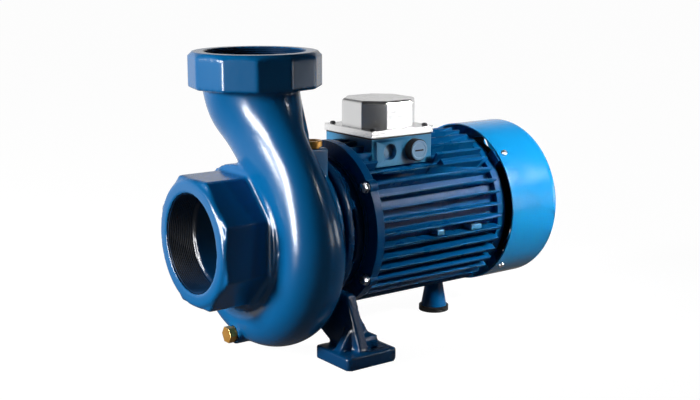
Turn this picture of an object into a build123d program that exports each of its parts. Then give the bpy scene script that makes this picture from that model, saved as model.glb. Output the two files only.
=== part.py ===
from build123d import *
import os
from math import cos, pi, radians, sin

# Close-coupled centrifugal pump with threaded ports and a finned electric motor.
# Millimetres. +X runs along the shaft from the suction port to the motor, +Z is up,
# -Y is the side of the discharge throat. The origin lies on the floor plane, midway
# between the two foot bolts.

# Overall layout, as setbacks behind the suction face
shaft_height = 135.0
foot_bolt_setback = 166.0
volute_setback = 97.0
discharge_setback = 86.0
casing_length = 148.0
bracket_length = 30.0
front_shield_length = 14.0
housing_length = 178.0
rear_shield_length = 12.0
cover_gap = 3.0
fan_cover_length = 80.0

# Threaded ports
port_bore_radius = 55.0
port_thread_length = 34.0
discharge_thread_length = 38.0
port_ring_radius = 68.8
port_ring_height = 3.5
port_across_flats = 142.0
suction_block_length = 56.5
discharge_block_length = 36.0
discharge_height = 204.0
suction_throat_radius = 50.0
block_bevel = 4.0

# Spiral casing
casing_wall = 7.0
tongue_angle = 105.0
tongue_radius = 80.0
throat_radius = 126.0
spiral_swell = 22.0
tongue_half_width = 32.0
throat_half_width = 37.0
half_width_swell = 8.0
tongue_half_height = 24.0
spiral_sections = 8
neck_sections = 4
neck_top_radius = 58.5
neck_seat = 3.5
neck_width_delay = 3.0
neck_waist = 5.0
oval_points = 12
casing_flange_radius = 84.0
casing_flange_thickness = 8.0
eye_radius = 43.0
chamber_radius = 74.0
chamber_front_setback = 66.0
cover_seat_setback = 112.0
cover_thickness = 24.0

# Priming and draining
filler_boss_width = 26.0
filler_boss_setback = 135.0
filler_boss_side = 38.0
filler_boss_height = 97.5
filler_boss_depth = 50.0
drain_boss_radius = 12.0
drain_boss_side = 5.0
drain_boss_drop = 113.0
drain_boss_setback = 54.0
drain_boss_length = 33.0
plug_thread_radius = 8.0
plug_thread_length = 12.0
plug_washer = 1.5
plug_head_height = 7.0
plug_head_across = 17.0

# Rotating parts
shaft_radius = 12.0
shaft_end_radius = 8.0
shaft_core_radius = 16.0
running_gap = 0.1
impeller_radius = 70.0
impeller_front_setback = 69.0
impeller_back_setback = 107.0
impeller_nut_across = 24.0
impeller_nut_length = 9.0
blade_count = 6
blade_thickness = 4.0
shroud_thickness = 5.0

# Bracket and feet
bracket_wall = 12.0
bracket_flange_radius = 89.0
bracket_flange_thickness = 8.0
bracket_rear_radius = 78.0
bracket_rear_thickness = 10.0
window_height = 60.0
pad_length = 68.0
pad_front_setback = 119.0
pad_outer_side = 126.0
pad_width = 62.5
pad_thickness = 14.5
leg_thickness = 12.0
leg_setback = 140.0
pad_corner_radius = 5.0
foot_bolt_side = 105.0
foot_bolt_radius = 6.0
gusset_thickness = 12.0
front_gusset_side = 99.0
front_gusset_height = 27.0
front_gusset_length = 17.0
rear_gusset_side = 74.0
rear_gusset_end_setback = 186.0
gusset_block_side = 90.0
gusset_block_height = 6.0

# Motor
housing_radius = 80.0
housing_bore = 64.0
fin_radius = 95.0
fin_thickness = 3.2
fin_count = 40
shield_ring_radius = 96.0
lug_angle = 35.0
lug_circle = 92.0
lug_radius = 8.0
side_bar_angle = 46.0
side_bar_width = 9.0
side_bar_setback = 281.0
side_bar_length = 80.0
rail_half_width = 40.0
rail_drop = 88.0
rear_shield_radius = 88.0

# Terminal box
box_front_setback = 212.0
box_length = 88.0
box_half_width = 44.6
box_top = 99.0
box_skirt = 64.0
box_wall = 5.0
gasket_thickness = 2.0
lid_plate = 8.0
lid_overhang = 1.5
lid_rise = 32.0
lid_inset = 6.0
lid_corner_cut = 21.0
lid_edge_radius = 4.0
entry_height = 83.0
small_entry_setback = 239.0
small_entry_radius = 9.0
large_entry_setback = 274.0
large_entry_radius = 14.5
entry_stand = 2.0
entry_room = 6.0
entry_slot_width = 3.0

# Fan end
fan_cover_radius = 98.5
fan_cover_wall = 1.6
fan_cover_round = 12.0
fan_radius = 79.0
cover_lug_angle = 45.0
cover_lug_width = 18.0
cover_lug_length = 16.0
fan_blade_count = 8
grille_slots = 24
grille_inner = 26.0
grille_outer = 80.0
grille_width = 4.0
fan_disc = 3.0

# Support under the motor
support_setback = 346.0
support_top_radius = 9.0
support_foot_radius = 16.0
support_ring_radius = 18.6
support_ring_height = 6.0

# Stations along X worked out from the layout
suction_x = -foot_bolt_setback
volute_x = suction_x + volute_setback
discharge_x = suction_x + discharge_setback
casing_rear_x = suction_x + casing_length
bracket_rear_x = casing_rear_x + bracket_length
housing_front_x = bracket_rear_x + front_shield_length
housing_rear_x = housing_front_x + housing_length
rear_shield_x = housing_rear_x + rear_shield_length
fan_cover_x = rear_shield_x + cover_gap
fan_cover_rear_x = fan_cover_x + fan_cover_length
block_rear_x = suction_x + port_ring_height + suction_block_length
discharge_top = shaft_height + discharge_height
block_bottom = discharge_top - port_ring_height - discharge_block_length


def across_shaft(x):
    """Sketch plane square to the shaft at station x, its origin on the shaft axis."""
    return Plane(origin=(x, 0, shaft_height), x_dir=(0, 1, 0), z_dir=(1, 0, 0))


def along_shaft():
    """Sketch plane holding the shaft axis: sketch X is the shaft, sketch Y is up."""
    return Plane(origin=(0, 0, shaft_height), x_dir=(1, 0, 0), z_dir=(0, -1, 0))


def spiral_plane(angle, centre_radius):
    """Plane across the water path at an angle round the shaft, counted from -Y over +Z."""
    turn = radians(angle)
    origin = (volute_x, -centre_radius * cos(turn), shaft_height + centre_radius * sin(turn))
    return Plane(origin=origin, x_dir=(1, 0, 0), z_dir=(0, sin(turn), cos(turn)))


def oval(half_width, half_height):
    """Closed smooth curve through points of an ellipse, starting on its +X end."""
    turns = [2 * pi * step / oval_points for step in range(oval_points)]
    return Spline(*[(half_width * cos(t), half_height * sin(t)) for t in turns], periodic=True)


def water_path(wall):
    """Sections of the spiral and of the neck, each a plane with two half sizes."""
    sections = []
    for step in range(spiral_sections):
        grown = step / (spiral_sections - 1)
        angle = tongue_angle + (360 - tongue_angle) * grown
        swell = sin(pi * grown)
        outer = tongue_radius + (throat_radius - tongue_radius) * grown + spiral_swell * swell
        width = tongue_half_width + (throat_half_width - tongue_half_width) * grown
        width += half_width_swell * swell
        height = tongue_half_height + (throat_half_width - tongue_half_height) * grown
        sections.append((spiral_plane(angle, outer - height), width - wall, height - wall))
    throat_side = throat_radius - throat_half_width
    neck_rise = block_bottom + neck_seat - shaft_height
    for step in range(1, neck_sections + 1):
        risen = step / neck_sections
        eased = risen * risen * (3 - 2 * risen)
        origin = (
            volute_x + (discharge_x - volute_x) * risen * (2 - risen),
            -throat_side * (1 - eased),
            shaft_height + neck_rise * risen,
        )
        lean = throat_side * 6 * risen * (1 - risen) / neck_rise
        flare = neck_top_radius - throat_half_width
        width = throat_half_width + flare * risen**neck_width_delay
        width -= neck_waist * sin(pi * risen) + wall
        height = throat_half_width + flare * risen - wall
        sections.append((Plane(origin=origin, x_dir=(1, 0, 0), z_dir=(0, lean, 1)), width, height))
    return sections


# Pump casing: spiral, neck, ports and bosses in one casting
shaft_axis = Axis((0, 0, shaft_height), (1, 0, 0))
filler_seat = Plane(
    origin=(suction_x + filler_boss_setback, -filler_boss_side, shaft_height + filler_boss_height)
)
drain_seat = Plane(
    origin=(suction_x + drain_boss_setback, drain_boss_side, shaft_height - drain_boss_drop),
    x_dir=(0, 1, 0),
    z_dir=(-1, 0, 0),
)
discharge_face = Plane(origin=(discharge_x, 0, discharge_top))
discharge_block = Plane(origin=(discharge_x, 0, block_bottom))
chamber_front_x = suction_x + chamber_front_setback
cover_x = suction_x + cover_seat_setback
thread_end_x = suction_x + port_thread_length
with BuildPart() as pump_casing:
    for plane, half_width, half_height in water_path(0):
        with BuildSketch(plane):
            with BuildLine():
                oval(half_width, half_height)
            make_face()
    loft()
    with BuildSketch(across_shaft(block_rear_x - block_bevel)):
        Circle(chamber_radius + casing_wall)
    extrude(amount=casing_rear_x - block_rear_x + block_bevel)
    with BuildSketch(across_shaft(casing_rear_x)):
        Circle(casing_flange_radius)
    extrude(amount=-casing_flange_thickness)
    with BuildSketch(filler_seat):
        Rectangle(filler_boss_width, filler_boss_width)
    extrude(amount=-filler_boss_depth)
    with BuildSketch(drain_seat):
        Circle(drain_boss_radius)
    extrude(amount=-drain_boss_length)
    with BuildSketch(discharge_block):
        RegularPolygon(port_across_flats / 2, 12, major_radius=False)
    extrude(amount=discharge_block_length)
    with BuildSketch(discharge_face):
        Circle(port_ring_radius)
    extrude(amount=-port_ring_height)
    # Impeller chamber, then the water passage
    with BuildSketch(across_shaft(chamber_front_x)):
        Circle(chamber_radius)
    extrude(amount=casing_rear_x - chamber_front_x, mode=Mode.SUBTRACT)
    for plane, half_width, half_height in water_path(casing_wall):
        with BuildSketch(plane):
            with BuildLine():
                oval(half_width, half_height)
            make_face()
    loft(mode=Mode.SUBTRACT)
    # Suction port
    with BuildSketch(across_shaft(suction_x + port_ring_height)):
        RegularPolygon(port_across_flats / 2, 8, major_radius=False, rotation=22.5)
    extrude(amount=suction_block_length)
    with BuildSketch(across_shaft(suction_x)):
        Circle(port_ring_radius)
    extrude(amount=port_ring_height)
    with BuildSketch(along_shaft()):
        with BuildLine():
            Polyline(
                (suction_x, 0),
                (suction_x, port_bore_radius),
                (thread_end_x, port_bore_radius),
                (thread_end_x, suction_throat_radius),
                (chamber_front_x, eye_radius),
                (chamber_front_x, 0),
                close=True,
            )
        make_face()
    revolve(axis=shaft_axis, mode=Mode.SUBTRACT)
    # Thread of the discharge port
    with BuildSketch(discharge_face):
        Circle(port_bore_radius)
    extrude(amount=-discharge_thread_length, mode=Mode.SUBTRACT)
    # Plug holes
    with BuildSketch(filler_seat):
        Circle(plug_thread_radius + running_gap)
    extrude(amount=-plug_thread_length - plug_washer, mode=Mode.SUBTRACT)
    with BuildSketch(drain_seat):
        Circle(plug_thread_radius + running_gap)
    extrude(amount=-plug_thread_length - plug_washer, mode=Mode.SUBTRACT)

# Threaded plugs: a flat hexagon head over a sealing washer
def threaded_plug(plane):
    """Plug whose thread goes below the plane and whose head stands over its washer."""
    with BuildPart() as plug:
        with BuildSketch(plane.offset(-plug_thread_length)):
            Circle(plug_thread_radius)
        extrude(amount=plug_thread_length + plug_washer)
        with BuildSketch(plane.offset(plug_washer)):
            RegularPolygon(plug_head_across / 2, 6, major_radius=False)
        extrude(amount=plug_head_height)
    return plug


def sealing_washer(plane):
    """Flat ring between a plug's head and its boss."""
    with BuildPart() as washer:
        with BuildSketch(plane):
            Circle(plug_head_across / 2)
            Circle(plug_thread_radius + running_gap, mode=Mode.SUBTRACT)
        extrude(amount=plug_washer)
    return washer


filler_plug = threaded_plug(filler_seat)
filler_washer = sealing_washer(filler_seat)
drain_plug = threaded_plug(drain_seat)
drain_washer = sealing_washer(drain_seat)

# Casing cover: the plate that closes the casing behind the impeller
spigot_x = cover_x + cover_thickness
with BuildPart() as casing_cover:
    with BuildSketch(across_shaft(cover_x)):
        Circle(chamber_radius - running_gap)
        Circle(shaft_core_radius, mode=Mode.SUBTRACT)
    extrude(amount=spigot_x - cover_x)

# Pump bracket: lantern between casing and motor, with its two feet
rear_ring_x = bracket_rear_x - bracket_rear_thickness
flange_rear_x = casing_rear_x + bracket_flange_thickness
pad_x = suction_x + pad_front_setback + pad_length / 2
pad_middle_side = pad_outer_side - pad_width / 2
leg_x = suction_x + leg_setback
leg_clearance = 1.0
leg_shoulder = shaft_height - window_height
rear_gusset_end_x = suction_x + rear_gusset_end_setback
block_x = (leg_x + rear_gusset_end_x) / 2
block_inner_side = rear_gusset_side - gusset_thickness / 2
block_middle_side = (gusset_block_side + block_inner_side) / 2
with BuildPart() as pump_bracket:
    with BuildSketch(along_shaft()):
        with BuildLine():
            Polyline(
                (spigot_x, chamber_radius - running_gap),
                (casing_rear_x, chamber_radius - running_gap),
                (casing_rear_x, bracket_flange_radius),
                (flange_rear_x, bracket_flange_radius),
                (rear_ring_x, bracket_rear_radius),
                (bracket_rear_x, bracket_rear_radius),
                (bracket_rear_x, shaft_core_radius + bracket_wall),
                (rear_ring_x, shaft_core_radius + bracket_wall),
                (rear_ring_x, bracket_rear_radius - bracket_wall),
                (flange_rear_x, chamber_radius - bracket_wall),
                (spigot_x, chamber_radius - bracket_wall),
                close=True,
            )
        make_face()
    revolve(axis=shaft_axis)
    # Legs: one plate across the shaft, cut away inside the lantern
    with BuildSketch(Plane(origin=(leg_x, 0, 0), x_dir=(0, 1, 0), z_dir=(1, 0, 0))):
        with BuildLine():
            Polyline(
                (0, leg_shoulder),
                (pad_middle_side, leg_shoulder),
                (pad_outer_side - leg_thickness / 2, pad_thickness),
                (pad_outer_side - pad_width, pad_thickness),
                (0, shaft_height - bracket_flange_radius),
                close=True,
            )
        make_face()
        mirror(about=Plane.YZ)
    extrude(amount=leg_thickness)
    with BuildSketch(across_shaft(leg_x)):
        Circle(casing_flange_radius + leg_clearance)
        Circle(chamber_radius - running_gap, mode=Mode.SUBTRACT)
    extrude(amount=casing_rear_x - leg_x, mode=Mode.SUBTRACT)
    with BuildSketch(across_shaft(leg_x)):
        Circle(bracket_rear_radius - bracket_wall)
    extrude(amount=leg_thickness, mode=Mode.SUBTRACT)
    # Side windows of the lantern
    with BuildSketch(along_shaft()):
        with Locations(((flange_rear_x + rear_ring_x) / 2, 0)):
            Rectangle(rear_ring_x - flange_rear_x, window_height)
    extrude(amount=bracket_flange_radius, both=True, mode=Mode.SUBTRACT)
    # Foot pads, the blocks on them and the gussets before and behind each leg
    with BuildSketch(Plane.XY):
        with Locations((pad_x, pad_middle_side), (pad_x, -pad_middle_side)):
            RectangleRounded(pad_length, pad_width, pad_corner_radius)
    extrude(amount=pad_thickness)
    with BuildSketch(Plane.XY):
        with Locations((block_x, block_middle_side), (block_x, -block_middle_side)):
            Rectangle(rear_gusset_end_x - leg_x, gusset_block_side - block_inner_side)
    extrude(amount=pad_thickness + gusset_block_height)
    for side in (1, -1):
        with BuildSketch(Plane.XZ.offset(side * rear_gusset_side)):
            with BuildLine():
                Polyline(
                    (leg_x, leg_shoulder),
                    (leg_x + leg_thickness, leg_shoulder),
                    (rear_gusset_end_x, pad_thickness),
                    (leg_x, pad_thickness),
                    close=True,
                )
            make_face()
        extrude(amount=gusset_thickness / 2, both=True)
        with BuildSketch(Plane.XZ.offset(side * front_gusset_side)):
            with BuildLine():
                Polyline(
                    (leg_x + leg_thickness / 2, pad_thickness + front_gusset_height),
                    (leg_x, pad_thickness + front_gusset_height),
                    (leg_x - front_gusset_length, pad_thickness),
                    (leg_x + leg_thickness / 2, pad_thickness),
                    close=True,
                )
            make_face()
        extrude(amount=gusset_thickness / 2, both=True)
    # Foot bolt holes
    with BuildSketch(Plane.XY):
        with Locations((0, foot_bolt_side), (0, -foot_bolt_side)):
            Circle(foot_bolt_radius)
    extrude(amount=pad_thickness, mode=Mode.SUBTRACT)

# Impeller: two shrouds and curved blades on a hub
impeller_front_x = suction_x + impeller_front_setback
impeller_back_x = suction_x + impeller_back_setback
impeller_inlet = eye_radius - shroud_thickness
blade_front_x = impeller_front_x + 3 * shroud_thickness
with BuildSketch(mode=Mode.PRIVATE) as blade:
    with BuildLine():
        blade_start = impeller_inlet - shroud_thickness
        blade_middle = (blade_start + impeller_radius) / 2
        ThreePointArc(
            (blade_start, 0),
            (blade_middle * cos(pi / 9), blade_middle * sin(pi / 9)),
            (impeller_radius * cos(pi / 3), impeller_radius * sin(pi / 3)),
        )
        offset(amount=blade_thickness / 2, side=Side.BOTH)
    make_face()
with BuildPart() as impeller:
    with BuildSketch(along_shaft()):
        with BuildLine():
            Polyline(
                (impeller_front_x, impeller_inlet),
                (impeller_front_x, eye_radius),
                (impeller_front_x + 2 * shroud_thickness, eye_radius),
                (blade_front_x, impeller_radius),
                (blade_front_x + shroud_thickness, impeller_radius),
                (blade_front_x, eye_radius),
                (impeller_front_x + 2 * shroud_thickness, impeller_inlet),
                close=True,
            )
        make_face()
        with BuildLine():
            Polyline(
                (impeller_back_x, shaft_radius + running_gap),
                (impeller_back_x, impeller_radius),
                (impeller_back_x - shroud_thickness, impeller_radius),
                (impeller_back_x - 2 * shroud_thickness, 2 * shaft_radius),
                (impeller_back_x - 5 * shroud_thickness, shaft_core_radius),
                (impeller_back_x - 5 * shroud_thickness, shaft_radius + running_gap),
                close=True,
            )
        make_face()
    revolve(axis=shaft_axis)
    with BuildSketch(across_shaft(blade_front_x)):
        with PolarLocations(0, blade_count):
            add(blade.sketch)
    extrude(amount=impeller_back_x - shroud_thickness / 2 - blade_front_x)

# Shaft, from the impeller nut to the fan
nut_x = impeller_back_x - 5 * shroud_thickness - impeller_nut_length
shaft_end_x = fan_cover_x + fan_cover_length / 2
with BuildPart() as motor_shaft:
    with BuildSketch(along_shaft()):
        with BuildLine():
            Polyline(
                (nut_x - shaft_end_radius / 2, 0),
                (nut_x - shaft_end_radius / 2, shaft_end_radius),
                (nut_x + impeller_nut_length, shaft_end_radius),
                (nut_x + impeller_nut_length, shaft_radius),
                (bracket_rear_x, shaft_radius),
                (bracket_rear_x, shaft_core_radius),
                (rear_shield_x, shaft_core_radius),
                (rear_shield_x, shaft_radius),
                (shaft_end_x, shaft_radius),
                (shaft_end_x, 0),
                close=True,
            )
        make_face()
    revolve(axis=shaft_axis)

with BuildPart() as impeller_nut:
    with BuildSketch(across_shaft(nut_x)):
        RegularPolygon(impeller_nut_across / 2, 6, major_radius=False)
        Circle(shaft_end_radius + running_gap, mode=Mode.SUBTRACT)
    extrude(amount=impeller_nut_length)

with BuildPart() as shaft_seal:
    with BuildSketch(across_shaft(impeller_back_x)):
        Circle(shaft_core_radius + shroud_thickness)
        Circle(shaft_radius + running_gap, mode=Mode.SUBTRACT)
    extrude(amount=cover_x - impeller_back_x)

slinger_x = (spigot_x + bracket_rear_x) / 2
with BuildPart() as water_slinger:
    with BuildSketch(along_shaft()):
        with BuildLine():
            Polyline(
                (slinger_x, shaft_radius + running_gap),
                (slinger_x, shaft_core_radius),
                (slinger_x + shroud_thickness, 2 * shaft_radius),
                (slinger_x + 1.5 * shroud_thickness, 2 * shaft_radius),
                (slinger_x + 1.5 * shroud_thickness, shaft_radius + running_gap),
                close=True,
            )
        make_face()
    revolve(axis=shaft_axis)

# Front shield of the motor with its four tie-bolt lugs
lug_angles = (lug_angle, 180 - lug_angle, 180 + lug_angle, -lug_angle)
with BuildPart() as front_shield:
    with BuildSketch(across_shaft(bracket_rear_x)):
        Circle(bracket_rear_radius)
    extrude(amount=front_shield_length)
    with BuildSketch(across_shaft(housing_front_x)):
        Circle(shield_ring_radius)
        for angle in lug_angles:
            with Locations((lug_circle * cos(radians(angle)), lug_circle * sin(radians(angle)))):
                Circle(lug_radius)
    extrude(amount=-front_shield_length * 3 / 4)
    with BuildSketch(across_shaft(bracket_rear_x)):
        Circle(shaft_core_radius + running_gap)
    extrude(amount=front_shield_length, mode=Mode.SUBTRACT)

# Motor housing: radial fins and the flat rail below, then the barrel
box_front_x = suction_x + box_front_setback
box_x = box_front_x + box_length / 2
fin_root = housing_radius - bracket_wall / 2
with BuildPart() as motor_housing:
    with BuildSketch(across_shaft(housing_front_x)):
        with PolarLocations((fin_root + fin_radius) / 2, fin_count):
            Rectangle(fin_radius - fin_root, fin_thickness)
        with Locations((0, -(rail_drop + fin_root) / 2)):
            Rectangle(2 * rail_half_width, rail_drop - fin_root)
        with Locations((0, -fin_radius)):
            Rectangle(2 * rail_half_width, 2 * (fin_radius - rail_drop), mode=Mode.SUBTRACT)
        Circle(fin_root, mode=Mode.SUBTRACT)
    extrude(amount=housing_length)
    with BuildSketch(Plane(origin=(box_x, 0, shaft_height + box_skirt))):
        Rectangle(box_length, 2 * (box_half_width + entry_room))
    extrude(amount=fin_radius, mode=Mode.SUBTRACT)
    with BuildSketch(across_shaft(suction_x + side_bar_setback)):
        with PolarLocations(
            (fin_root + fin_radius) / 2,
            2,
            start_angle=side_bar_angle,
            angular_range=2 * (180 - 2 * side_bar_angle),
        ):
            Rectangle(fin_radius - fin_root, side_bar_width)
    extrude(amount=side_bar_length)
    with BuildSketch(across_shaft(housing_front_x)):
        Circle(housing_radius)
    extrude(amount=housing_length)
    with BuildSketch(across_shaft(housing_front_x)):
        Circle(housing_bore)
    extrude(amount=housing_length, mode=Mode.SUBTRACT)

# Wound core and rotor inside the housing
core_x = housing_front_x + housing_length / 4
core_length = housing_length / 2
air_gap = 0.5
rotor_radius = housing_bore * 0.6
with BuildPart() as stator_core:
    with BuildSketch(across_shaft(core_x)):
        Circle(housing_bore - running_gap)
        Circle(rotor_radius + air_gap, mode=Mode.SUBTRACT)
    extrude(amount=core_length)

with BuildPart() as rotor_core:
    with BuildSketch(across_shaft(core_x)):
        Circle(rotor_radius)
        Circle(shaft_core_radius + running_gap, mode=Mode.SUBTRACT)
    extrude(amount=core_length)

# Rear shield with the lugs that hold the fan cover
cover_lug_outer = fan_cover_radius - fan_cover_wall - running_gap
with BuildPart() as rear_shield:
    with BuildSketch(across_shaft(housing_rear_x)):
        Circle(rear_shield_radius)
        Circle(shaft_core_radius + running_gap, mode=Mode.SUBTRACT)
    extrude(amount=rear_shield_length)
    with BuildSketch(across_shaft(rear_shield_x)):
        with PolarLocations(cover_lug_outer / 2, 4, start_angle=cover_lug_angle):
            Rectangle(cover_lug_outer, cover_lug_width)
        Circle(cover_lug_outer, mode=Mode.INTERSECT)
        Circle(fan_radius + cover_gap, mode=Mode.SUBTRACT)
    extrude(amount=cover_gap + cover_lug_length)

# Terminal box: skirted base on the barrel, gasket and lid
box_floor = shaft_height + housing_radius + running_gap
with BuildPart() as terminal_box:
    with BuildSketch(Plane(origin=(box_x, 0, shaft_height + box_skirt))):
        Rectangle(box_length, 2 * box_half_width)
    extrude(amount=box_top - box_skirt)
    with BuildSketch(Plane(origin=(box_x, 0, box_floor + box_wall))):
        Rectangle(box_length - 2 * box_wall, 2 * box_half_width - 2 * box_wall)
    extrude(amount=box_top, mode=Mode.SUBTRACT)
    with BuildSketch(across_shaft(box_front_x)):
        Circle(housing_radius + running_gap)
    extrude(amount=box_length, mode=Mode.SUBTRACT)

with BuildPart() as box_gasket:
    with BuildSketch(Plane(origin=(box_x, 0, shaft_height + box_top))):
        Rectangle(box_length, 2 * box_half_width)
        Rectangle(box_length - 2 * box_wall, 2 * box_half_width - 2 * box_wall, mode=Mode.SUBTRACT)
    extrude(amount=gasket_thickness)

lid_bottom = shaft_height + box_top + gasket_thickness
lid_length = box_length + 2 * lid_overhang
lid_width = 2 * (box_half_width + lid_overhang)
with BuildPart() as terminal_lid:
    with BuildSketch(Plane(origin=(box_x, 0, lid_bottom))):
        Rectangle(lid_length, lid_width)
    extrude(amount=lid_plate)
    with BuildSketch(Plane(origin=(box_x, 0, lid_bottom))):
        Rectangle(lid_length - 2 * lid_inset, lid_width - 2 * lid_inset)
        chamfer(vertices(), lid_corner_cut)
    extrude(amount=lid_plate + lid_rise)
    fillet(faces().sort_by(Axis.Z)[-1].edges(), lid_edge_radius)
    with BuildSketch(Plane(origin=(box_x, 0, lid_bottom))):
        Rectangle(lid_length - 2 * lid_inset - 2 * box_wall, lid_width - 2 * lid_inset - 2 * box_wall)
        chamfer(vertices(), lid_corner_cut)
    extrude(amount=lid_plate + lid_rise - box_wall, mode=Mode.SUBTRACT)

# Cable entries on the near side of the box
entry_side = Plane(origin=(0, -box_half_width, shaft_height), x_dir=(1, 0, 0), z_dir=(0, -1, 0))
small_entry = (suction_x + small_entry_setback, entry_height)
large_entry = (suction_x + large_entry_setback, entry_height)
with BuildPart() as cable_plug:
    with BuildSketch(entry_side):
        with Locations(small_entry):
            Circle(small_entry_radius)
    extrude(amount=entry_stand)
    with BuildSketch(entry_side.offset(entry_stand)):
        with Locations(small_entry):
            Circle(small_entry_radius / 2)
    extrude(amount=-entry_stand / 2, mode=Mode.SUBTRACT)

with BuildPart() as slotted_plug:
    with BuildSketch(entry_side):
        with Locations(large_entry):
            Circle(large_entry_radius)
    extrude(amount=2 * entry_stand)
    with BuildSketch(entry_side.offset(2 * entry_stand)):
        with Locations(large_entry):
            Rectangle(large_entry_radius, entry_slot_width)
    extrude(amount=-entry_stand, mode=Mode.SUBTRACT)

# Cooling fan: hub, back disc and straight blades
fan_x = fan_cover_x + cover_lug_length
with BuildPart() as cooling_fan:
    with BuildSketch(across_shaft(fan_x)):
        Circle(fan_radius)
        Circle(shaft_radius + running_gap, mode=Mode.SUBTRACT)
    extrude(amount=fan_disc)
    with BuildSketch(across_shaft(fan_x)):
        Circle(2 * shaft_radius)
        with PolarLocations((fan_radius + shaft_radius) / 2, fan_blade_count):
            Rectangle(fan_radius - shaft_radius, fan_disc)
        Circle(shaft_radius + running_gap, mode=Mode.SUBTRACT)
    extrude(amount=shaft_end_x - fan_x)

# Fan cover: drawn bowl with a slotted rear wall
with BuildPart() as fan_cover:
    with BuildSketch(along_shaft()):
        with BuildLine():
            outline = Polyline(
                (fan_cover_x, fan_cover_radius),
                (fan_cover_rear_x, fan_cover_radius),
                (fan_cover_rear_x, 0),
            )
            fillet(outline.vertices().sort_by(Axis.X)[1:2], fan_cover_round)
            offset(amount=-fan_cover_wall, side=Side.RIGHT)
        make_face()
    revolve(axis=shaft_axis)
    with BuildSketch(across_shaft(fan_cover_rear_x)):
        with PolarLocations((grille_inner + grille_outer) / 2, grille_slots):
            SlotOverall(grille_outer - grille_inner, grille_width)
    extrude(amount=-fan_cover_wall, mode=Mode.SUBTRACT)

# Support under the rail: a cast cone standing on a foot ring
support_x = suction_x + support_setback
support_top = shaft_height - rail_drop
with BuildPart() as support_cone:
    with BuildSketch(Plane(origin=(support_x, 0, support_ring_height))):
        Circle(support_foot_radius)
    with BuildSketch(Plane(origin=(support_x, 0, support_top))):
        Circle(support_top_radius)
    loft()

with BuildPart() as support_ring:
    with BuildSketch(Plane(origin=(support_x, 0, 0))):
        Circle(support_ring_radius)
    extrude(amount=support_ring_height)

pieces = {
    "pump_casing": pump_casing,
    "filler_plug": filler_plug,
    "filler_washer": filler_washer,
    "drain_plug": drain_plug,
    "drain_washer": drain_washer,
    "casing_cover": casing_cover,
    "pump_bracket": pump_bracket,
    "impeller": impeller,
    "impeller_nut": impeller_nut,
    "shaft_seal": shaft_seal,
    "motor_shaft": motor_shaft,
    "water_slinger": water_slinger,
    "front_shield": front_shield,
    "motor_housing": motor_housing,
    "stator_core": stator_core,
    "rotor_core": rotor_core,
    "rear_shield": rear_shield,
    "terminal_box": terminal_box,
    "box_gasket": box_gasket,
    "terminal_lid": terminal_lid,
    "cable_plug": cable_plug,
    "slotted_plug": slotted_plug,
    "cooling_fan": cooling_fan,
    "fan_cover": fan_cover,
    "support_cone": support_cone,
    "support_ring": support_ring,
}
os.makedirs("parts", exist_ok=True)
for name, piece in pieces.items():
    piece.part.label = name
    export_step(piece.part, f"parts/{name}.step")
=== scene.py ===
from math import pi, radians

import bmesh
import bpy
import numpy as np
from mathutils import Euler, Matrix, Vector


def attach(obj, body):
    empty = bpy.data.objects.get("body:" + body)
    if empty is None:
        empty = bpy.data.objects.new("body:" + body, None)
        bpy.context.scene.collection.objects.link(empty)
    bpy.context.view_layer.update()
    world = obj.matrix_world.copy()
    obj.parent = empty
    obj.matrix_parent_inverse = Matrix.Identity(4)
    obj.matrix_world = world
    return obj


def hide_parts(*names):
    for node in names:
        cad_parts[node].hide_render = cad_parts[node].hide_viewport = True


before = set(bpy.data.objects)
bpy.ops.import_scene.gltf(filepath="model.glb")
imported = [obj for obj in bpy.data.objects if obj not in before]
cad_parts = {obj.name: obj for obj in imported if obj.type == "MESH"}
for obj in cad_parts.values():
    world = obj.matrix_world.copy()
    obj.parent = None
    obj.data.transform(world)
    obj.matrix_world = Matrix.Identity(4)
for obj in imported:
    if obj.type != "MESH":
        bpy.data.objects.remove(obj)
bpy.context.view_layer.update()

# Metres. The origin is on the floor between the two foot bolts, +X runs along the shaft
# to the motor and +Z is up. Stations along X are setbacks behind the suction face.
SUCTION_X = -0.166
SHAFT_Z = 0.135
VOLUTE_X = -0.069
DISCHARGE_X = -0.080
PORT_BORE = 0.055
PORT_RING = 0.0688
DISCHARGE_TOP = 0.339
SHIELD_FRONT_X = 0.0155
HOUSING_FRONT_X = 0.026
HOUSING_REAR_X = 0.204
COVER_FRONT_X = 0.219
COVER_REAR_X = 0.299
COVER_RADIUS = 0.0985
BOX_X = 0.090
BOX_NEAR_Y = -0.0446
LID_PLATE_TOP = 0.244
LID_TOP = 0.276


# Shapes


def place(points, centre, axis, side=None):
    """Turns local points so that local Z lies along axis, local X near side, and moves them."""
    up = np.array(axis, float)
    up /= np.linalg.norm(up)
    hint = np.array(side if side is not None else ((0, 0, 1) if abs(up[2]) < 0.9 else (1, 0, 0)), float)
    across = hint - up * hint.dot(up)
    across /= np.linalg.norm(across)
    frame_rows = np.stack([across, np.cross(up, across), up])
    return points @ frame_rows + np.array(centre, float)


def skin(name, grid, material, closed_rows=False, capped=False, sharp=32.0):
    """Mesh over a grid of points, rows by columns. Columns close on themselves where
    closed_rows is set, and capped fills the first and the last ring with one face."""
    rows, columns = grid.shape[:2]
    index = np.arange(rows * columns).reshape(rows, columns)
    if closed_rows:
        index = np.concatenate([index, index[:, :1]], axis=1)
    quads = np.stack([index[:-1, :-1], index[:-1, 1:], index[1:, 1:], index[1:, :-1]], axis=-1)
    faces = quads.reshape(-1, 4).tolist()
    if capped:
        ring = list(range(columns))
        faces.append(ring[::-1])
        faces.append([(rows - 1) * columns + step for step in ring])
    mesh = bpy.data.meshes.new(name)
    mesh.from_pydata(grid.reshape(-1, 3).tolist(), [], faces)
    return piece_of(name, mesh, material, sharp)


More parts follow.
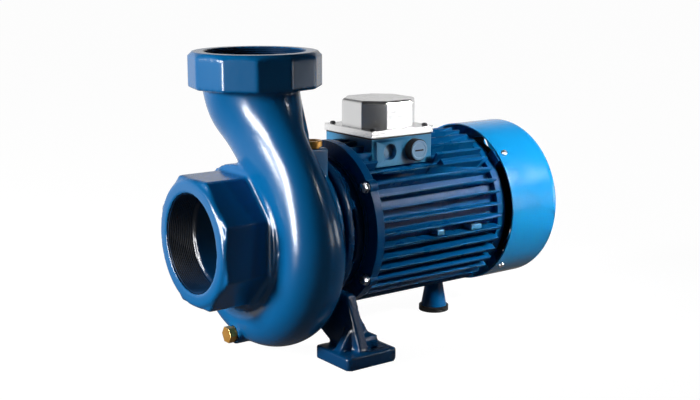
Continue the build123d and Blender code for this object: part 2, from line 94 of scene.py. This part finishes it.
def piece_of(name, mesh, material, sharp=32.0):
    """Links a mesh as one piece of the pump, smooth but for edges steeper than sharp."""
    mesh.shade_smooth()
    mesh.set_sharp_from_angle(angle=radians(sharp))
    piece = bpy.data.objects.new(name, mesh)
    bpy.context.scene.collection.objects.link(piece)
    mesh.materials.append(material)
    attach(piece, "root")
    return piece


def turned(name, outline, centre, axis, material, flats=0, around=48, side=None):
    """Body turned about an axis. Each outline row is (height, radius, flatness): a circle
    of that radius, or a polygon with that inner radius where flatness is 1, as on a nut."""
    outline = np.array([row if len(row) == 3 else (*row, 0) for row in outline], float)
    angle = np.linspace(0, 2 * pi, around, endpoint=False)
    if flats:
        half = pi / flats
        polygon = 1 / np.cos((angle + half) % (2 * half) - half)
    else:
        polygon = np.ones(around)
    reach = 1 + outline[:, 2:3] * (polygon[None, :] - 1)
    radius = outline[:, 1:2] * reach
    height = np.repeat(outline[:, :1], around, axis=1)
    local = np.stack([radius * np.cos(angle), radius * np.sin(angle), height], axis=-1)
    return skin(name, place(local, centre, axis, side), material, closed_rows=True, capped=True)


def ring(name, outline, centre, axis, material, slot, around=96):
    """Ring turned about an axis from a closed outline of (height, radius) rows."""
    outline = np.array(outline + outline[:1], float)
    angle = np.linspace(0, 2 * pi, around, endpoint=False)
    local = np.stack(
        [
            outline[:, 1:2] * np.cos(angle),
            outline[:, 1:2] * np.sin(angle),
            np.repeat(outline[:, :1], around, axis=1),
        ],
        axis=-1,
    )
    return skin(name, place(local, centre, axis), material, closed_rows=True)


def hex_bolt(name, centre, axis, across=0.010, material=None):
    """Washer and chamfered hexagon head of a bolt, across being the width over its flats."""
    inner = across / 2
    outline = [
        (-0.0005, inner * 1.35),
        (0.0014, inner * 1.35),
        (0.0016, inner * 1.28),
        (0.0016, inner, 1),
        (0.0052, inner, 1),
        (0.0060, inner * 0.93, 0.4),
        (0.0061, inner * 0.5, 0),
    ]
    return turned(name, outline, centre, axis, material, flats=6)


# Materials


def node(tree, kind, inputs=None, **settings):
    """Adds one shader node, sets its fields, and fills its inputs with values or links."""
    made = tree.nodes.new(kind)
    for key, value in settings.items():
        setattr(made, key, value)
    for key, value in (inputs or {}).items():
        if isinstance(value, bpy.types.NodeSocket):
            tree.links.new(value, made.inputs[key])
        else:
            made.inputs[key].default_value = value
    return made


def rgba(colour):
    """Colour with full opacity."""
    return (*colour, 1.0)


def noise(tree, scale, detail=3.0, roughness=0.55):
    """Noise on Object coordinates, so many bumps a metre."""
    place_node = node(tree, "ShaderNodeTexCoord")
    return node(
        tree,
        "ShaderNodeTexNoise",
        {"Vector": place_node.outputs["Object"], "Scale": scale, "Detail": detail, "Roughness": roughness},
    ).outputs["Fac"]


def ramp(tree, value, low, high, out_low=0.0, out_high=1.0):
    """Value carried from low..high to out_low..out_high, held at both ends."""
    return node(
        tree,
        "ShaderNodeMapRange",
        {"Value": value, "From Min": low, "From Max": high, "To Min": out_low, "To Max": out_high},
    ).outputs["Result"]


def blend(tree, factor, first, second):
    """Colour between two others."""
    made = node(tree, "ShaderNodeMix", data_type="RGBA")
    tree.links.new(factor, made.inputs["Factor"])
    for socket, value in ((made.inputs["A"], first), (made.inputs["B"], second)):
        if isinstance(value, bpy.types.NodeSocket):
            tree.links.new(value, socket)
        else:
            socket.default_value = rgba(value)
    return made.outputs["Result"]


def worked(tree, operation, first, second):
    """Sum, product or other operation on two values."""
    return node(tree, "ShaderNodeMath", {0: first, 1: second}, operation=operation).outputs[0]


def edge_mask(tree, radius):
    """1 on the outer edges of a piece and 0 on its faces, from how far rounding bends the normal."""
    rounded = node(tree, "ShaderNodeBevel", {"Radius": radius}, samples=4)
    plain = node(tree, "ShaderNodeNewGeometry")
    straight = node(tree, "ShaderNodeVectorMath", operation="DOT_PRODUCT")
    tree.links.new(rounded.outputs["Normal"], straight.inputs[0])
    tree.links.new(plain.outputs["Normal"], straight.inputs[1])
    return ramp(tree, straight.outputs["Value"], 0.995, 0.90), rounded.outputs["Normal"]


def port_shade_share(tree):
    """1 within the two ports, where the paint takes painted shade, 0 elsewhere."""
    spot = node(tree, "ShaderNodeTexCoord").outputs["Object"]
    parts = node(tree, "ShaderNodeSeparateXYZ", {"Vector": spot}).outputs
    shares = []
    for centre, kept, depth in (
        ((0, 0, SHAFT_Z), (0, 1, 1), ramp(tree, parts["X"], -0.0895, -0.0905)),
        ((DISCHARGE_X, 0, 0), (1, 1, 0), ramp(tree, parts["Z"], 0.2995, 0.3005)),
    ):
        off = node(tree, "ShaderNodeVectorMath", {0: spot, 1: centre}, operation="SUBTRACT").outputs[0]
        flat = node(tree, "ShaderNodeVectorMath", {0: off, 1: kept}, operation="MULTIPLY").outputs[0]
        away = node(tree, "ShaderNodeVectorMath", {0: flat}, operation="LENGTH").outputs["Value"]
        shares.append(worked(tree, "MULTIPLY", ramp(tree, away, 0.0558, 0.0553), depth))
    return worked(tree, "MAXIMUM", *shares)


def finish_of(
    name,
    colour,
    deep=None,
    edge_wear_and_highlight=None,
    roughness=0.25,
    roughness_spread=0.08,
    metallic=0.0,
    specular=0.5,
    coat=0.0,
    grain=0.0,
    grain_scale=900.0,
    swell=0.0,
    swell_scale=45.0,
    edge=0.0,
    patch_scale=9.0,
    port_shade=False,
):
    """One procedural finish. Colour drifts between two tones in broad patches, roughness
    varies, a fine grain and a broad swell bump the surface, edges are rounded and lighter, as
    wear and on the motor's fins as painted highlight, and the ports may take painted shade inside."""
    material = bpy.data.materials.new(name)
    material.use_nodes = True
    tree = material.node_tree
    tree.nodes.clear()
    output = node(tree, "ShaderNodeOutputMaterial")
    surface = node(
        tree,
        "ShaderNodeBsdfPrincipled",
        {"Metallic": metallic, "Specular IOR Level": specular, "Coat Weight": coat, "Coat Roughness": 0.10},
    )
    tree.links.new(surface.outputs["BSDF"], output.inputs["Surface"])
    patches = ramp(tree, noise(tree, patch_scale), 0.2, 0.8)
    tone = blend(tree, patches, deep or tuple(0.8 * part for part in colour), colour)
    normal = None
    if edge:
        mask, normal = edge_mask(tree, edge)
        broken = node(tree, "ShaderNodeMath", operation="MULTIPLY")
        tree.links.new(mask, broken.inputs[0])
        tree.links.new(ramp(tree, noise(tree, 70.0), 0.3, 0.7, 0.25, 0.9), broken.inputs[1])
        # Lighter edges: wear, and on the motor's fins a painted highlight.
        tone = blend(tree, broken.outputs[0], tone, edge_wear_and_highlight or tuple(min(1.0, 0.06 + 1.5 * part) for part in colour))
    # Painted shade: the paint turns nearly black inside the two ports.
    if port_shade:
        tone = blend(tree, port_shade_share(tree), tone, (0.0005, 0.024, 0.075))
    tree.links.new(tone, surface.inputs["Base Color"])
    rough = ramp(tree, noise(tree, 30.0), 0.1, 0.9, roughness - roughness_spread, roughness + roughness_spread)
    tree.links.new(rough, surface.inputs["Roughness"])
    for strength, scale, depth in ((swell, swell_scale, 0.004), (grain, grain_scale, 0.0006)):
        if strength:
            bump = node(
                tree,
                "ShaderNodeBump",
                {"Strength": strength, "Distance": depth, "Height": noise(tree, scale, 2.0)},
            )
            if normal is not None:
                tree.links.new(normal, bump.inputs["Normal"])
            normal = bump.outputs["Normal"]
    if normal is not None:
        tree.links.new(normal, surface.inputs["Normal"])
    return material


CASTING = finish_of(
    "casting_enamel",
    (0.0003, 0.128, 0.345),
    deep=(0.0003, 0.110, 0.310),
    roughness=0.22,
    specular=0.25,
    coat=0.15,
    swell=0.05,
    grain=0.10,
    edge=0.0016,
    roughness_spread=0.03,
    port_shade=True,
)
# Same blue enamel as the casing, darkened as painted shade over the whole bracket: lantern, legs and feet.
BRACKET = finish_of(
    "bracket_enamel_painted_shade",
    (0.0002, 0.050, 0.150),
    deep=(0.0002, 0.038, 0.120),
    roughness=0.26,
    roughness_spread=0.03,
    specular=0.25,
    swell=0.05,
    grain=0.15,
    edge=0.0016,
)
# Thread in the ports: dark navy enamel, darkened as painted shade for the depth of the ports.
BORE = finish_of(
    "thread_painted_shade",
    (0.0006, 0.030, 0.090),
    deep=(0.0005, 0.024, 0.075),
    roughness=0.55,
    specular=0.10,
    grain=0.10,
)
# Motor enamel. Its light edge colour is wear and, on the fins' edges, a painted highlight.
MOTOR = finish_of(
    "motor_enamel",
    (0.0003, 0.082, 0.245),
    deep=(0.0003, 0.064, 0.200),
    edge_wear_and_highlight=(0.030, 0.210, 0.430),
    roughness=0.28,
    roughness_spread=0.03,
    specular=0.10,
    grain=0.20,
    grain_scale=1300.0,
    edge=0.0013,
)
# Same enamel as the motor, made lighter and bluer as a painted reflection of the lamps on the box and the side
# bosses.
BOX = finish_of(
    "box_enamel_painted_sheen",
    (0.035, 0.240, 0.460),
    deep=(0.028, 0.205, 0.410),
    roughness=0.34,
    roughness_spread=0.03,
    specular=0.50,
    grain=0.20,
    grain_scale=1300.0,
    edge=0.0010,
)
COVER = finish_of(
    "cover_lacquer",
    (0.005, 0.270, 0.620),
    deep=(0.004, 0.240, 0.570),
    roughness=0.22,
    specular=0.40,
    coat=0.3,
    swell=0.05,
    swell_scale=14.0,
    grain=0.05,
    edge=0.0014,
)
LID = finish_of(
    "lid_aluminium_paint",
    (0.88, 0.88, 0.88),
    deep=(0.84, 0.84, 0.85),
    edge_wear_and_highlight=(0.95, 0.95, 0.95),
    roughness=0.24,
    metallic=0.90,
    grain=0.30,
    grain_scale=1500.0,
    edge=0.0012,
)
BRASS = finish_of(
    "yellow_brass",
    (0.80, 0.42, 0.10),
    deep=(0.62, 0.29, 0.05),
    edge_wear_and_highlight=(0.98, 0.72, 0.32),
    roughness=0.32,
    metallic=0.75,
    grain=0.12,
    edge=0.0007,
    patch_scale=60.0,
)
STEEL = finish_of(
    "zinc_steel",
    (0.72, 0.73, 0.74),
    deep=(0.50, 0.51, 0.53),
    edge_wear_and_highlight=(0.92, 0.92, 0.92),
    roughness=0.28,
    metallic=1.0,
    grain=0.15,
    edge=0.0005,
    patch_scale=80.0,
)
DARK_STEEL = finish_of(
    "blackened_steel",
    (0.035, 0.035, 0.038),
    deep=(0.015, 0.015, 0.017),
    roughness=0.40,
    metallic=0.8,
    grain=0.25,
    patch_scale=80.0,
)
RUBBER = finish_of(
    "black_rubber",
    (0.012, 0.012, 0.013),
    deep=(0.007, 0.007, 0.008),
    roughness=0.65,
    specular=0.35,
    grain=0.35,
    grain_scale=1700.0,
)
PALE_PLASTIC = finish_of(
    "pale_blue_plastic",
    (0.16, 0.30, 0.46),
    deep=(0.13, 0.25, 0.40),
    roughness=0.38,
    grain=0.12,
    edge=0.0006,
    patch_scale=50.0,
)
IRON = finish_of(
    "rough_iron",
    (0.050, 0.055, 0.065),
    deep=(0.025, 0.028, 0.035),
    roughness=0.60,
    metallic=0.4,
    grain=0.5,
    swell=0.2,
)

NODE_FINISH = {
    "pump_casing": CASTING,
    "filler_plug": BRASS,
    "filler_washer": BRASS,
    "drain_plug": BRASS,
    "drain_washer": BRASS,
    "casing_cover": IRON,
    "pump_bracket": BRACKET,
    "impeller": BRASS,
    "impeller_nut": STEEL,
    "shaft_seal": RUBBER,
    "motor_shaft": STEEL,
    "water_slinger": RUBBER,
    "front_shield": MOTOR,
    "motor_housing": MOTOR,
    "stator_core": STEEL,
    "rotor_core": STEEL,
    "rear_shield": MOTOR,
    "terminal_box": BOX,
    "box_gasket": RUBBER,
    "terminal_lid": LID,
    "cable_plug": PALE_PLASTIC,
    "slotted_plug": PALE_PLASTIC,
    "cooling_fan": RUBBER,
    "fan_cover": COVER,
    "support_cone": MOTOR,
    "support_ring": RUBBER,
}
for node_name, material in NODE_FINISH.items():
    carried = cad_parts[node_name]
    for held in carried.material_slots:
        held.material = material
    if not carried.material_slots:
        carried.data.materials.append(material)


# Pieces


def merged_copy(node_name):
    """Mesh of a CAD node with its loose triangles joined at their corners."""
    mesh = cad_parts[node_name].data.copy()
    work = bmesh.new()
    work.from_mesh(mesh)
    bmesh.ops.remove_doubles(work, verts=work.verts, dist=0.00001)
    work.to_mesh(mesh)
    work.free()
    mesh.materials.clear()
    return mesh


def finished(name, mesh, modifiers):
    """Mesh after a chain of modifiers, each a type with its fields."""
    holder = bpy.data.objects.new(name, mesh)
    bpy.context.scene.collection.objects.link(holder)
    for kind, fields in modifiers:
        made = holder.modifiers.new(kind.lower(), kind)
        for key, value in fields.items():
            setattr(made, key, value)
    seen = holder.evaluated_get(bpy.context.evaluated_depsgraph_get())
    done = bpy.data.meshes.new_from_object(seen)
    bpy.data.objects.remove(holder)
    return done


def cast_skin(node_name, name, voxel, rounds, material, relief=None):
    """Copy of a CAD casting in even faces, its creases rounded as a mould leaves them. Relief
    moves its points before the rounding."""
    even = finished(name + "_even", merged_copy(node_name), [("REMESH", {"mode": "VOXEL", "voxel_size": voxel})])
    points = np.empty(3 * len(even.vertices))
    even.vertices.foreach_get("co", points)
    points = points.reshape(-1, 3)
    if relief:
        points = relief(points)
    even.vertices.foreach_set("co", points.ravel())
    even.update()
    mesh = finished(name, even, [("SMOOTH", {"factor": 0.5, "iterations": rounds})])
    mesh.name = name
    piece = piece_of(name, mesh, material, sharp=180.0)
    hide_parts(node_name)
    return piece


def room_for_plug(points):
    """Points of the neck near the filler plug moved towards the suction side, by a share that
    falls off as a bell curve with distance from the plug. The plug's own boss stays."""
    plug = np.array([-0.031, -0.038, 0.242])
    off = points - plug
    near = np.exp(-(off[:, 1] ** 2 / 0.034**2 + (off[:, 2] / 0.026) ** 2 + (off[:, 0] + 0.02) ** 2 / 0.03**2))
    boss = (np.abs(off[:, 0]) < 0.0165) & (np.abs(off[:, 1]) < 0.0165)
    moved = points.copy()
    moved[:, 0] -= np.where(boss, 0.0, 0.010 * near)
    return moved


def cutter(make, **fields):
    """Volume to take away, made by one of bmesh's primitives."""
    work = bmesh.new()
    make(work, **fields)
    mesh = bpy.data.meshes.new("cutter")
    work.to_mesh(mesh)
    work.free()
    holder = bpy.data.objects.new("cutter", mesh)
    bpy.context.scene.collection.objects.link(holder)
    return holder


def box_between(low, high):
    """Matrix that carries the unit cube onto the box between two corners."""
    low, high = Vector(low), Vector(high)
    return Matrix.LocRotScale((low + high) / 2, None, high - low)


def carved(node_name, name, cutters, material):
    """Copy of a CAD node without the volumes of the cutters."""
    steps = [("BOOLEAN", {"operation": "DIFFERENCE", "solver": "EXACT", "object": each}) for each in cutters]
    mesh = finished(name, merged_copy(node_name), steps)
    for each in cutters:
        bpy.data.objects.remove(each)
    piece = piece_of(name, mesh, material)
    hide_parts(node_name)
    return piece


def block(name, low, high, material, edge=0.0008):
    """Box between two corners with rounded edges."""
    holder = cutter(bmesh.ops.create_cube, size=1.0, matrix=box_between(low, high))
    mesh = holder.data
    bpy.data.objects.remove(holder)
    mesh = finished(name, mesh, [("BEVEL", {"width": edge, "segments": 3})])
    return piece_of(name, mesh, material)


def thread_bore(name, centre, axis, length, pitch=0.0023):
    """Pipe thread inside a port: a band whose radius rises and falls as a triangle wave,
    once in a pitch, moved along by one pitch for each turn round the bore."""
    rows = 6 * int(length / pitch)
    along = np.linspace(0.0012, length - 0.0008, rows)[:, None]
    turn = np.linspace(0, 1, 96, endpoint=False)[None, :]
    wave = np.abs(((along / pitch + turn) % 1.0) * 2 - 1)
    fade = np.clip(np.minimum(along, length - along) / 0.003, 0, 1)
    radius = PORT_BORE + 0.00005 - 0.0012 * wave * fade
    angle = 2 * pi * turn
    local = np.stack([radius * np.cos(angle), radius * np.sin(angle), along + 0 * turn], axis=-1)
    return skin(name, place(local, centre, axis), BORE, closed_rows=True, sharp=60.0)


cast_skin("pump_casing", "casing_skin", 0.0022, 2, CASTING, room_for_plug)
cast_skin("pump_bracket", "bracket_skin", 0.0020, 3, BRACKET)
thread_bore("suction_thread", (SUCTION_X, 0, SHAFT_Z), (1, 0, 0), 0.034)
thread_bore("discharge_thread", (DISCHARGE_X, 0, DISCHARGE_TOP), (0, 0, -1), 0.038)

# Motor: the fins stop short of the box on both sides, which leaves its entries in view
BOX_SPAN = (0.0461, 0.1339)
carved(
    "motor_housing",
    "housing_skin",
    [
        cutter(
            bmesh.ops.create_cube,
            size=1.0,
            matrix=box_between(
                (BOX_SPAN[0], min(side * 0.036, side * 0.069), 0.1990),
                (BOX_SPAN[1], max(side * 0.036, side * 0.069), 0.2400),
            ),
        )
        for side in (-1, 1)
    ],
    MOTOR,
)
for number, (start, length) in enumerate(((0.1045, 0.0105), (0.1560, 0.0165))):
    block(
        f"side_boss_{number}",
        (start, -0.0945, 0.1235),
        (start + length, -0.0795, 0.1300),
        BOX,
    )

# Terminal box: an open cable entry, a slotted plug, and a raised strip along the near corner
ENTRY_Z = SHAFT_Z + 0.083
SMALL_ENTRY_X = 0.073
LARGE_ENTRY_X = 0.108
carved(
    "terminal_box",
    "box_skin",
    [
        cutter(
            bmesh.ops.create_cone,
            cap_ends=True,
            segments=64,
            radius1=0.0094,
            radius2=0.0094,
            depth=0.030,
            matrix=Matrix.LocRotScale(
                Vector((SMALL_ENTRY_X, BOX_NEAR_Y, ENTRY_Z)), Euler((radians(90), 0, 0)), Vector((1, 1, 1))
            ),
        ),
        cutter(
            bmesh.ops.create_cube,
            size=1.0,
            matrix=box_between((BOX_SPAN[0] + 0.0055, -0.0500, 0.2), (BOX_SPAN[0] + 0.0070, BOX_NEAR_Y + 0.0016, 0.2315)),
        ),
    ],
    BOX,
)
recess = turned(
    "entry_floor",
    [(-0.0020, 0.0092), (0.0, 0.0092), (0.0004, 0.0088), (0.0006, 0.0050), (0.0010, 0.0046), (0.0010, 0.0010)],
    (SMALL_ENTRY_X, BOX_NEAR_Y + 0.0080, ENTRY_Z),
    (0, -1, 0),
    PALE_PLASTIC,
    around=64,
)
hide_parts("cable_plug")
turned(
    "plug_collar",
    [(-0.001, 0.0130), (0.0090, 0.0130), (0.0096, 0.0124), (0.0096, 0.0020)],
    (LARGE_ENTRY_X, BOX_NEAR_Y, ENTRY_Z),
    (0, -1, 0),
    RUBBER,
    around=64,
)
slotted = turned(
    "slotted_cap",
    [
        (0.0080, 0.0118),
        (0.0102, 0.0118),
        (0.0108, 0.0112),
        (0.0108, 0.0092),
        (0.0102, 0.0088),
        (0.0104, 0.0010),
    ],
    (LARGE_ENTRY_X, BOX_NEAR_Y, ENTRY_Z),
    (0, -1, 0),
    PALE_PLASTIC,
    around=64,
)
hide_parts("slotted_plug")
# A black bar across the cap stands for its slot: painted shade in place of a cut groove.
block(
    "slot_painted_shade",
    (LARGE_ENTRY_X - 0.0060, BOX_NEAR_Y - 0.0108, ENTRY_Z - 0.0009),
    (LARGE_ENTRY_X + 0.0060, BOX_NEAR_Y - 0.0100, ENTRY_Z + 0.0009),
    RUBBER,
    edge=0.0002,
)

# Filler plug: a wide low cap with a chamfered rim and a hexagon socket
plug_cap = turned(
    "filler_cap",
    [
        (-0.0090, 0.0070),
        (0.0002, 0.0070),
        (0.0002, 0.0108),
        (0.0052, 0.0108),
        (0.0066, 0.0098),
        (0.0066, 0.0070),
        (0.0060, 0.0056, 1),
        (0.0026, 0.0050, 1),
        (0.0026, 0.0010, 1),
    ],
    (-0.031, -0.038, SHAFT_Z + 0.0990),
    (0, 0, 1),
    BRASS,
    flats=6,
    around=72,
)
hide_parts("filler_plug")

for number, turn_angle in enumerate((35, 145, 215, -35)):
    centre = (
        SHIELD_FRONT_X,
        0.092 * np.cos(radians(turn_angle)),
        SHAFT_Z + 0.092 * np.sin(radians(turn_angle)),
    )
    hex_bolt(f"tie_bolt_{number}", centre, (-1, 0, 0), material=STEEL)

for number, (side_x, side_y) in enumerate(((1, 1), (1, -1), (-1, 1), (-1, -1))):
    turned(
        f"lid_screw_{number}",
        [
            (-0.001, 0.0034),
            (0.0008, 0.0034),
            (0.0022, 0.0029),
            (0.0027, 0.0019),
            (0.0026, 0.0008),
            (0.0012, 0.0005),
        ],
        (BOX_X + side_x * 0.0385, side_y * 0.039, LID_PLATE_TOP),
        (0, 0, 1),
        DARK_STEEL,
        around=24,
    )

for number, turn_angle in enumerate((45, 135, 225, 315)):
    outward = (0, np.cos(radians(turn_angle)), np.sin(radians(turn_angle)))
    turned(
        f"cover_screw_{number}",
        [(-0.001, 0.0040), (0.0010, 0.0040), (0.0024, 0.0034), (0.0030, 0.0020), (0.0028, 0.0008)],
        (COVER_FRONT_X + 0.010, outward[1] * COVER_RADIUS, SHAFT_Z + outward[2] * COVER_RADIUS),
        outward,
        STEEL,
        around=24,
    )


# Floor, light and camera


def aim(thing, place_at, target):
    """Puts a lamp or camera somewhere and points it at a target."""
    thing.location = place_at
    thing.rotation_euler = (Vector(target) - Vector(place_at)).to_track_quat("-Z", "Y").to_euler()


def softbox(name, place_at, target, width, height, power, spread=180):
    """Rectangular area lamp, its beam no wider than spread."""
    lamp = bpy.data.lights.new(name, "AREA")
    lamp.shape = "RECTANGLE"
    lamp.size = width
    lamp.size_y = height
    lamp.energy = power
    lamp.spread = radians(spread)
    holder = bpy.data.objects.new(name, lamp)
    bpy.context.scene.collection.objects.link(holder)
    aim(holder, place_at, target)
    holder.visible_camera = False
    return holder


def mirrored_card(name, place_at, target, width, height, power):
    """Lamp that only mirror rays meet, as a bright card that shows as a highlight."""
    softbox(name, place_at, target, width, height, power).visible_diffuse = False


def seen_white(tree, plain, white, seen_share, mirrored_share):
    """Plain shader that camera and see-through rays find white by the first share, and
    mirror rays by the second."""
    path = node(tree, "ShaderNodeLightPath").outputs
    seen = worked(tree, "MAXIMUM", path["Is Camera Ray"], path["Is Transmission Ray"])
    share = worked(
        tree,
        "MAXIMUM",
        worked(tree, "MULTIPLY", seen, seen_share),
        worked(tree, "MULTIPLY", path["Is Glossy Ray"], mirrored_share),
    )
    mixed = node(tree, "ShaderNodeMixShader", {0: share, 1: plain, 2: white})
    return mixed.outputs[0]


floor_paint = bpy.data.materials.new("pale_floor")
floor_paint.use_nodes = True
floor_tree = floor_paint.node_tree
floor_tree.nodes.clear()
floor_plain = node(floor_tree, "ShaderNodeBsdfDiffuse", {"Color": rgba((0.12, 0.12, 0.12))})
floor_shade = node(floor_tree, "ShaderNodeBsdfDiffuse", {"Color": rgba((0.90, 0.90, 0.90))})
floor_glow = node(floor_tree, "ShaderNodeEmission", {"Color": rgba((1, 1, 1)), "Strength": 1.06})
floor_white = node(
    floor_tree, "ShaderNodeMixShader", {0: 0.92, 1: floor_shade.outputs[0], 2: floor_glow.outputs[0]}
)
floor_spot = node(floor_tree, "ShaderNodeNewGeometry").outputs["Position"]
floor_parts = node(floor_tree, "ShaderNodeSeparateXYZ", {"Vector": floor_spot}).outputs
floor_mirrored = ramp(floor_tree, floor_parts["Y"], 0.15, 0.60, 0.05, 0.80)
floor_seen = seen_white(floor_tree, floor_plain.outputs[0], floor_white.outputs[0], 1.0, floor_mirrored)
floor_output = node(floor_tree, "ShaderNodeOutputMaterial")
floor_tree.links.new(floor_seen, floor_output.inputs["Surface"])
floor_mesh = bpy.data.meshes.new("floor")
reach = 12.0
floor_mesh.from_pydata([(-reach, -reach, 0), (reach, -reach, 0), (reach, reach, 0), (-reach, reach, 0)], [], [(0, 1, 2, 3)])
floor = bpy.data.objects.new("floor", floor_mesh)
floor_mesh.materials.append(floor_paint)
bpy.context.scene.collection.objects.link(floor)

scene = bpy.context.scene
world = bpy.data.worlds.new("studio")
scene.world = world
world.use_nodes = True
world_tree = world.node_tree
world_tree.nodes.clear()
direction = node(world_tree, "ShaderNodeTexCoord").outputs["Generated"]
parts = node(world_tree, "ShaderNodeSeparateXYZ", {"Vector": direction})
ambient = node(world_tree, "ShaderNodeBackground", {"Color": rgba((1, 1, 1)), "Strength": 0.025})
white_sky = node(world_tree, "ShaderNodeBackground", {"Color": rgba((1, 1, 1)), "Strength": 1.0})
behind = ramp(world_tree, parts.outputs["Y"], 0.0, 0.6, 0.0, 0.8)
low_down = ramp(world_tree, parts.outputs["Z"], 0.25, 0.65, 1.0, 0.0)
backdrop_share = worked(world_tree, "MULTIPLY", behind, low_down)
world_seen = seen_white(world_tree, ambient.outputs[0], white_sky.outputs[0], 1.0, backdrop_share)
world_output = node(world_tree, "ShaderNodeOutputWorld")
world_tree.links.new(world_seen, world_output.inputs["Surface"])

softbox("left_key", (-1.90, 0.45, 0.66), (-0.05, 0, 0.18), 0.5, 0.5, 52)
softbox("motor_lamp", (1.05, -1.25, 1.00), (0.27, 0, 0.15), 0.30, 0.30, 1.0, spread=20)
mirrored_card("left_strip", (-1.00, -0.17, 0.30), (-0.10, -0.10, 0.16), 0.24, 0.60, 28)
mirrored_card("right_card", (1.20, -0.45, 0.13), (-0.05, -0.10, 0.16), 0.30, 0.24, 1.3)
mirrored_card("near_card", (0.93, -1.10, 0.16), (0.12, 0, 0.24), 0.32, 0.32, 1.7)

camera_data = bpy.data.cameras.new("camera")
camera_data.sensor_width = 36.0
camera_data.lens = 61.04
camera = bpy.data.objects.new("camera", camera_data)
scene.collection.objects.link(camera)
camera.location = (-0.76418, -1.10519, 0.44146)
camera.rotation_euler = (radians(78.29), 0, radians(-36.32))
scene.camera = camera

scene.view_settings.view_transform = "Standard"
